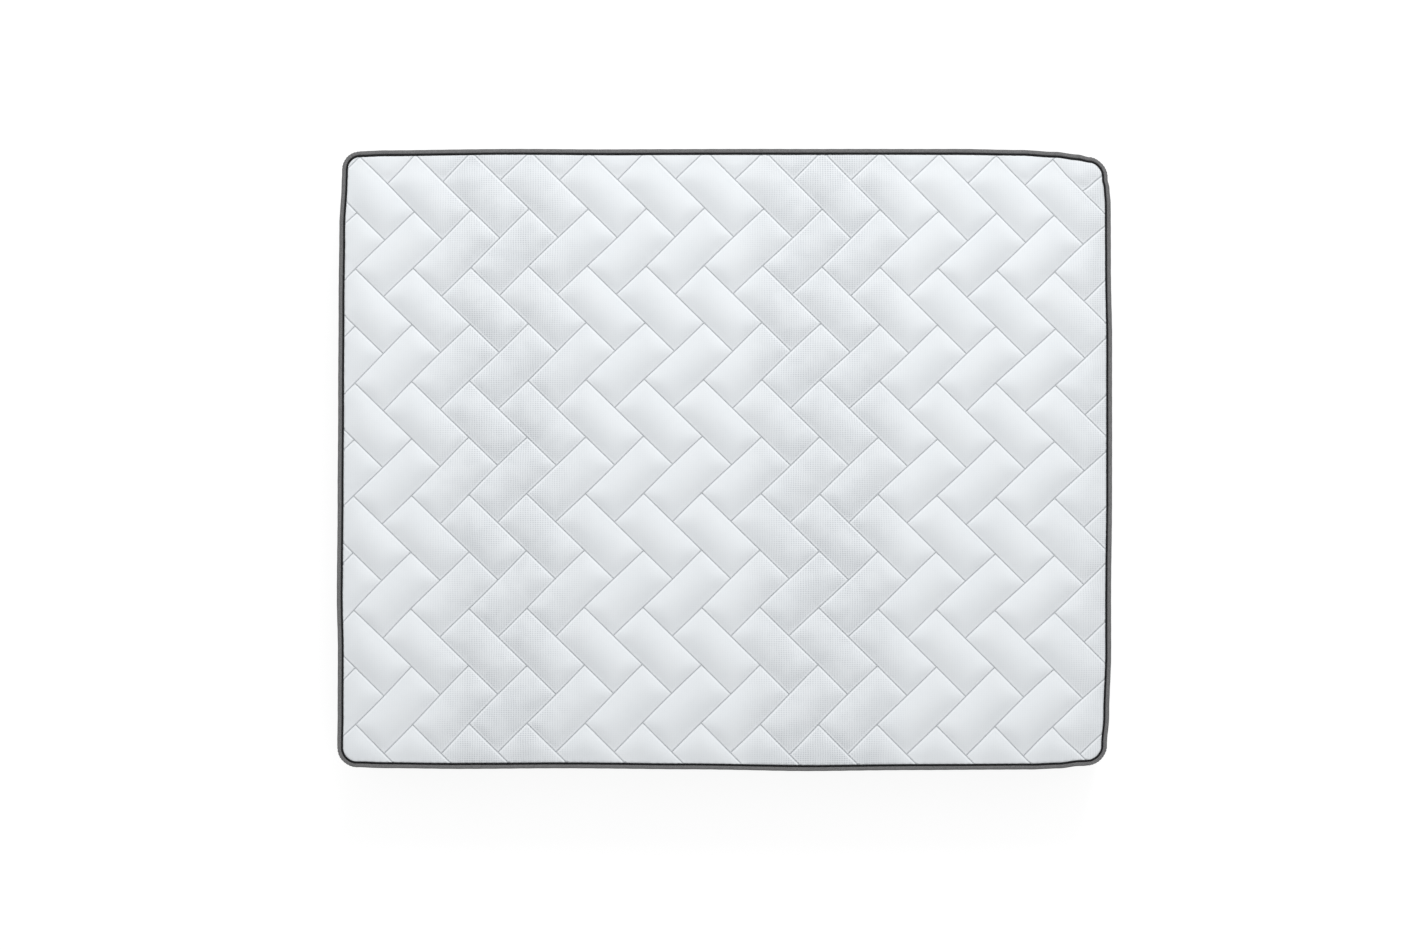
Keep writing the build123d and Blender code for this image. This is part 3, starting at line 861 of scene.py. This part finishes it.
def perimeter(step=6 * MM, corner_steps=48, breaks=()):
    """Places round the straight outline: point, outward direction and distance, from the middle
    of the +Y side. breaks are places along X on the -Y side that get a station of their own."""
    reach_x, reach_y = HALF_X - CORNER, HALF_Y - CORNER
    points, outs = [], []

    def straight(start, end, out, marks=()):
        start, end = np.array(start), np.array(end)
        long = np.linalg.norm(end - start)
        stops = sorted({0.0, long, *marks})
        for low, high in zip(stops, stops[1:]):
            count = max(1, round((high - low) / step))
            for k in range(count):
                points.append(start + (end - start) * (low + (high - low) * k / count) / long)
                outs.append(out)

    def corner(centre, first_turn):
        for k in range(corner_steps):
            turn = math.radians(first_turn + 90 * k / corner_steps)
            out = np.array([math.cos(turn), math.sin(turn)])
            points.append(np.array(centre) + CORNER * out)
            outs.append(out)

    straight((0, HALF_Y), (-reach_x, HALF_Y), (0, 1))
    corner((-reach_x, reach_y), 90)
    straight((-HALF_X, reach_y), (-HALF_X, -reach_y), (-1, 0))
    corner((-reach_x, -reach_y), 180)
    straight((-reach_x, -HALF_Y), (reach_x, -HALF_Y), (0, -1), [x + reach_x for x in breaks])
    corner((reach_x, -reach_y), 270)
    straight((HALF_X, -reach_y), (HALF_X, reach_y), (1, 0))
    corner((reach_x, reach_y), 0)
    straight((reach_x, HALF_Y), (0, HALF_Y), (0, 1))
    points, outs = np.array(points), np.array(outs, float)
    return points, outs, lengths(np.vstack([points, points[:1]]))


def corner_share(points):
    """1 round the corners of the outline, 0 along its sides."""
    x = smooth((np.abs(points[:, 0]) - (HALF_X - 1.5 * CORNER)) / (0.7 * CORNER))
    y = smooth((np.abs(points[:, 1]) - (HALF_Y - 1.5 * CORNER)) / (0.7 * CORNER))
    return x * y


def band(path, insets, heights, around, closed):
    """Places and faces of a band round the outline, and metres along and across it at the corners
    of the faces. insets and heights are (stations, section points) arrays."""
    points, outs, distance = path
    xy = points[:, None, :] - outs[:, None, :] * insets[:, :, None]
    places = np.concatenate([xy, heights[:, :, None]], axis=2).reshape(-1, 3)
    faces = grid_faces(*insets.shape, True, closed)
    a, k = divmod(faces[:, 0], insets.shape[1])
    along = np.stack([distance[a], distance[a + 1], distance[a + 1], distance[a]], axis=1)
    across = np.stack([around[k], around[k], around[k + 1], around[k + 1]], axis=1)
    return places, faces, along, across


def swept(name, path, insets, heights, material):
    """A roll or cord round the outline."""
    section = np.column_stack([insets[0], heights[0]])
    around = lengths(np.vstack([section, section[:1]]))
    places, faces, along, across = band(path, insets, heights, around, True)
    piece = new_mesh(name, soften(places), faces, material)
    put_along(piece, along.ravel(), across.ravel())
    return piece


def put_along(piece, along, across):
    """Stores metres along and across a band on its corners, for its weave."""
    attribute = piece.data.attributes.new("along", "FLOAT_VECTOR", "CORNER")
    values = np.column_stack([along, across, 0 * along]).astype(np.float32)
    attribute.data.foreach_set("vector", values.ravel())


def oval(points, centre, half_width, half_height, power=2.0):
    """A rounded section as insets and heights, counted round once."""
    turn = np.arange(points) * 2 * math.pi / points
    c, s = np.cos(turn), np.sin(turn)
    x = np.sign(c) * np.abs(c) ** (2 / power) * half_width
    y = np.sign(s) * np.abs(s) ** (2 / power) * half_height
    return centre[0] + x, centre[1] + y


def edge_roll(prefix, low, high):
    """Grey tape rolled over a seam, gathered round the corners, with its two rows of stitches."""
    path = perimeter()
    points, outs, distance = path
    middle = (low + high) / 2
    inset, height = oval(18, (BEAD_WIDTH / 2, middle), BEAD_WIDTH / 2, (high - low) / 2, ROLL_POWER)
    along = distance[:-1]
    gather = corner_share(points) * (0.5 + 0.5 * np.sin(2 * math.pi * along / GATHER))
    slack = 0.25 * np.sin(2 * math.pi * along / (5.3 * GATHER)) + 0.2 * np.sin(along * 23)
    shrink = (0.9 * gather + 0.5 * slack)[:, None] * MM
    outer = np.clip((BEAD_WIDTH * 0.8 - inset) / (BEAD_WIDTH * 0.8), 0, 1)
    insets = inset + shrink * outer
    heights = middle + (height - middle) * (1 - 60 * shrink * outer)
    roll = swept(prefix + "_roll", path, insets, heights, TAPE)
    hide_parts(prefix + "_binding")
    row = BEAD_WIDTH * 0.76
    share = (row - BEAD_WIDTH / 2) / (BEAD_WIDTH / 2)
    rise = (high - low) / 2 * (1 - share ** ROLL_POWER) ** (1 / ROLL_POWER)
    xy = points - outs * row
    runs = []
    for side in (-1, 1):
        run = np.column_stack([xy, np.full(len(xy), middle + side * rise)])
        run = soften(np.vstack([run, run[:1]]))
        runs.append((run, (0, 0, side)))
    sewn = stitches(prefix + "_roll_thread", runs, GREY_THREAD, 5.5 * MM, 4.0 * MM, 0.4 * MM)


def piping_cord(prefix, middle):
    """Black piping along the inner side of the edge roll."""
    path = perimeter(step=7 * MM, corner_steps=24)
    inset, height = oval(12, (PIPING_INSET, middle), PIPING_RADIUS, PIPING_RADIUS)
    along = path[2][:-1]
    wander = (0.18 * np.sin(along * 31) + 0.12 * np.sin(along * 67 + 1))[:, None] * MM
    cord = swept(prefix + "_piping_cord", path, inset + wander, height + 0 * wander, PIPING)
    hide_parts(prefix + "_piping")


def side_band():
    """Side band of the cover: draws in under the rolls, swells between them, opens for the zip."""
    path = perimeter(step=11 * MM, corner_steps=10, breaks=(-WINDOW_X, WINDOW_X))
    points, outs, distance = path
    low, high = BOTTOM_BEAD_HIGH - 0.5 * MM, BEAD_LOW + 0.5 * MM
    ends = np.array([0, 1.5, 4, 8, 14, 22]) * MM
    rows = [low + end for end in ends] + [high - end for end in ends]
    rows += [WINDOW_LOW - HEM, WINDOW_LOW, WINDOW_HIGH, WINDOW_HIGH + HEM]
    rows += list(np.linspace(WINDOW_HIGH + HEM, high - ends[-1], 11)[1:-1])
    rows = np.array(sorted(rows))
    middle, half = (low + high) / 2, (high - low) / 2
    t = np.clip((np.abs(rows - middle) - BAND_FLAT) / (half - BAND_FLAT), 0, 1)
    inset = BAND_INSET + (BEAD_WIDTH - BAND_INSET) * (1 - np.sqrt(1 - t * t))
    insets, heights = (np.broadcast_to(each, (len(points), len(rows))) for each in (inset, rows))
    places, faces, along, across = band(path, insets, heights, rows, False)
    x, y, z = places[faces].mean(axis=1).T
    window = (y < -HALF_Y + CORNER / 2) & (np.abs(x) < WINDOW_X)
    window &= (z > WINDOW_LOW) & (z < WINDOW_HIGH)
    faces, along, across = faces[~window], along[~window], across[~window]
    x, y, z = places.T
    pinned = (z < low + MM) | (z > high - MM)
    hem = (y < -HALF_Y + CORNER / 2) & (np.abs(x) < WINDOW_X + HEM)
    pinned |= hem & (z > WINDOW_LOW - HEM - MM) & (z < WINDOW_HIGH + HEM + MM)
    moved = inflate(places, faces, pinned, BAND_PRESSURE, BAND_SLACK, 12)
    out = np.repeat(np.column_stack([outs, 0 * outs[:, 0]]), len(rows), axis=0)
    # the wadding behind keeps the band from sinking in
    swelling = np.maximum(np.sum((moved - places) * out, axis=1), 0)
    places += out * (swelling * BAND_BULGE / swelling.max())[:, None]
    used, faces = np.unique(faces, return_inverse=True)
    piece = new_mesh("side_band", soften(places[used]), faces.reshape(-1, 4), BORDER)
    put_along(piece, along.ravel(), across.ravel())
    turn_in_window(piece)
    thicken(piece, BAND_FABRIC)
    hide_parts("border_face")


def turn_in_window(piece):
    """Turns the edges of the zip window in towards the zip tapes."""
    mesh = bmesh.new()
    mesh.from_mesh(piece.data)
    front = TAPE_FRONT - 0.1 * MM
    extrude_rim(mesh, lambda x, y, z: (x, front, z), WINDOW_LOW - MM, WINDOW_HIGH + MM)
    mesh.to_mesh(piece.data)
    mesh.free()
    shade_smooth(piece.data)


def filling(node, name, material):
    """A soft inner layer of the CAD model, drawn to the soft outline of the mattress."""
    mesh = bmesh.new()
    mesh.from_mesh(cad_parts[node].data)
    for axis, half in ((0, HALF_X), (1, HALF_Y)):
        near = np.arange(half - 150 * MM, half - CORNER / 4, 12.5 * MM)
        out = np.eye(3)[axis]
        for place in (*-near[::-1], *np.arange(-half + 200 * MM, half - 160 * MM, 50 * MM), *near):
            every = mesh.verts[:] + mesh.edges[:] + mesh.faces[:]
            bmesh.ops.bisect_plane(mesh, geom=every, dist=1e-6, plane_co=out * place, plane_no=out)
    piece = softened(mesh, name, material)
    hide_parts(node)
    return piece


def fillings():
    """Foam layers, their liner, and the waddings, from the floor up."""
    filling("support_core", "support_core_foam", SUPPORT_FOAM)
    filling("transition_foam", "transition_foam_layer", TRANSITION_FOAM)
    filling("memory_foam", "memory_foam_layer", MEMORY_FOAM)
    lower = filling("liner_lower", "liner_tray", LINER)
    upper = filling("liner_upper", "liner_lid", LINER)
    backing = filling("quilt_backing", "quilt_backing_cloth", BACKING)
    for node, name, share in (
        ("bottom_wadding", "base_wadding", 0.6),
        ("border_wadding", "band_wadding", 0.5),
    ):
        filling(node, name, WADDING)


def base_panel():
    """Base cloth: flat on the floor, turned up at the rim to its piping."""
    edge = np.array([0, 2, 4, 6, 9, 12, 16, 22, 32]) * MM
    lines = []
    for half in (HALF_X, HALF_Y):
        inner = np.linspace(-half + 60 * MM, half - 60 * MM, round(half / (25 * MM)))
        rim = half - PANEL_INSET - edge
        lines.append(np.concatenate([-rim, inner, rim[::-1]]))
    x, y = np.meshgrid(*lines, indexing="ij")
    places = np.column_stack([x.ravel(), y.ravel(), 0 * x.ravel()])
    mesh = opened(grid_data(places, grid_faces(*x.shape)[:, OTHER_WAY]))
    trim(mesh, PANEL_INSET)

    def height(x, y, z):
        return BASE_EDGE * (1 - rim_share(depth_inside(x, y) - PANEL_INSET, BASE_RIM))

    set_heights(mesh, height)
    sewn_edge(mesh, BASE_FLANGE_Z)
    piece = finished(mesh, "base_panel", BASE)
    if sum(p.normal.z for p in piece.data.polygons) > 0:
        piece.data.flip_normals()
    thicken(piece, BASE_FABRIC)
    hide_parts("bottom_panel")


# ---- zip

def zip_coil(node, up):
    """A nylon coil: a flattened helix whose heads point at the slit."""
    low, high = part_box(node)
    centre_y, centre_z = (low[1] + high[1]) / 2, (low[2] + high[2]) / 2
    wire = 0.42 * MM
    half_y, half_z = (high[1] - low[1]) / 2 - wire, (high[2] - low[2]) / 2 - wire
    pitch, sides, per_turn = 1.9 * MM, 5, 10
    turns = int((high[0] - low[0] - 2 * wire) / pitch)
    steps = np.arange(turns * per_turn + 1)
    angle = steps * 2 * math.pi / per_turn
    x = low[0] + wire + pitch * steps / per_turn
    c, s = np.cos(angle), up * np.sin(angle)
    line = np.column_stack([x, centre_y + half_y * c, centre_z + half_z * s])
    out = np.column_stack([0 * x, c, s])
    side = np.array([1.0, 0, 0])
    rings = []
    for k in range(sides):
        turn = 2 * math.pi * k / sides
        rings.append(line + wire * (out * math.cos(turn) + side * math.sin(turn)))
    points = np.stack(rings, axis=1).reshape(-1, 3)
    faces = [face[::-1] for face in tube_faces(len(steps), sides)]
    piece = new_mesh(node.replace("zip_", "") + "_loops", points, faces, COIL)
    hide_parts(node)


def end_patches():
    """Fabric patches over the two ends of the zip, with bar tacks round them."""
    low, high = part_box("zip_end_patches")
    rings = ((1.0, 0.0), (1.0, 0.75), (0.96, 0.98), (0.88, 0.9), (0.8, 1.02), (0.45, 1.15))
    count, thick = 48, high[1] - low[1]
    points, faces, runs = [], [], []
    for start in (low[0], high[0] - PATCH_LENGTH):
        centre = start + PATCH_LENGTH / 2, (low[2] + high[2]) / 2

        def loop(places, share, rise):
            half_x, half_z = PATCH_LENGTH / 2 * share, (high[2] - low[2]) / 2 * share
            across, up = oval(places, centre, half_x, half_z, 7)
            return np.column_stack([across, np.full(places, high[1] - rise * thick), up])

        first = len(points)
        for share, rise in rings:
            points.extend(loop(count, share, rise))
        faces += [[first + k for k in face] for face in tube_faces(len(rings), count)]
        run = loop(count + 1, 0.88, 0.95)
        runs.append((np.vstack([run, run[:1]]), (0, -1, 0)))
    piece = new_mesh("end_patches", points, faces, BORDER)
    loops = np.zeros(len(piece.data.loops), int)
    piece.data.loops.foreach_get("vertex_index", loops)
    places = np.array(points)[loops]
    put_along(piece, places[:, 0], places[:, 2])
    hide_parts("zip_end_patches")
    sewn = stitches("patch_thread", runs, GREY_THREAD, 2.2 * MM, 1.7 * MM, 0.3 * MM)


def hem_thread():
    """Two rows of stitches that hold the zip tapes to the hem of the window."""
    runs = []
    ends = WINDOW_X + HEM / 2
    y = -HALF_Y + BAND_INSET
    for z in (WINDOW_LOW - 3 * MM, WINDOW_LOW - 7 * MM, WINDOW_HIGH + 3 * MM, WINDOW_HIGH + 7 * MM):
        runs.append(([(-ends, y, z), (ends, y, z)], (0, -1, 0)))
    sewn = stitches("hem_thread", runs, GREY_THREAD, 4.2 * MM, 3.2 * MM, 0.35 * MM, 0.05 * MM)


# ---- stage, light and camera

def stage():
    """White floor, soft light from the +Y side, and a camera straight above."""
    corners = [(x * FLOOR_REACH, y * FLOOR_REACH, 0) for x, y in ((-1, -1), (1, -1), (1, 1), (-1, 1))]
    floor = new_mesh("floor", corners, [(0, 1, 2, 3)], floor_white(), body=None)
    floor.location.z = -FLOOR_GAP
    scene = bpy.context.scene
    world = bpy.data.worlds.new("studio")
    world.use_nodes = True
    nodes = world.node_tree.nodes
    # white where the camera sees it, dimmer as light
    seen = nodes.new("ShaderNodeLightPath").outputs["Is Camera Ray"]
    level = nodes.new("ShaderNodeMapRange")
    level.inputs["To Min"].default_value = SKY
    level.inputs["To Max"].default_value = 1.0
    world.node_tree.links.new(seen, level.inputs["Value"])
    nodes["Background"].inputs["Color"].default_value = (1, 1, 1, 1)
    world.node_tree.links.new(level.outputs["Result"], nodes["Background"].inputs["Strength"])
    scene.world = world
    light = bpy.data.lights.new("key", "AREA")
    light.shape = "DISK"
    light.size = KEY_SIZE
    light.energy = KEY
    key = add_object("key", light)
    key.location = Vector(KEY_FROM).normalized() * KEY_DISTANCE
    key.rotation_euler = Vector(KEY_FROM).to_track_quat("Z", "Y").to_euler()
    scene.view_settings.view_transform = "Standard"
    camera = bpy.data.cameras.new("camera")
    camera.lens = LENS
    camera.sensor_width = SENSOR
    camera.clip_end = 50
    view = add_object("camera", camera)
    distance = VIEW_WIDTH * LENS / SENSOR
    view.location = (*VIEW_CENTRE, TOP + distance)
    scene.camera = view


stage()
lattice = Lattice()
lattice.swell()
lattice.vary()
quilted_wadding(lattice)
quilted_face(lattice)
quilt_thread(lattice)
edge_roll("top", BEAD_LOW, BEAD_HIGH)
edge_roll("bottom", BOTTOM_BEAD_LOW, BOTTOM_BEAD_HIGH)
piping_cord("top", PIPING_LOW + PIPING_RADIUS)
piping_cord("bottom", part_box("bottom_piping")[0][2] + PIPING_RADIUS)
fillings()
side_band()
base_panel()
zip_coil("zip_coil_upper", 1)
zip_coil("zip_coil_lower", -1)
end_patches()
hem_thread()
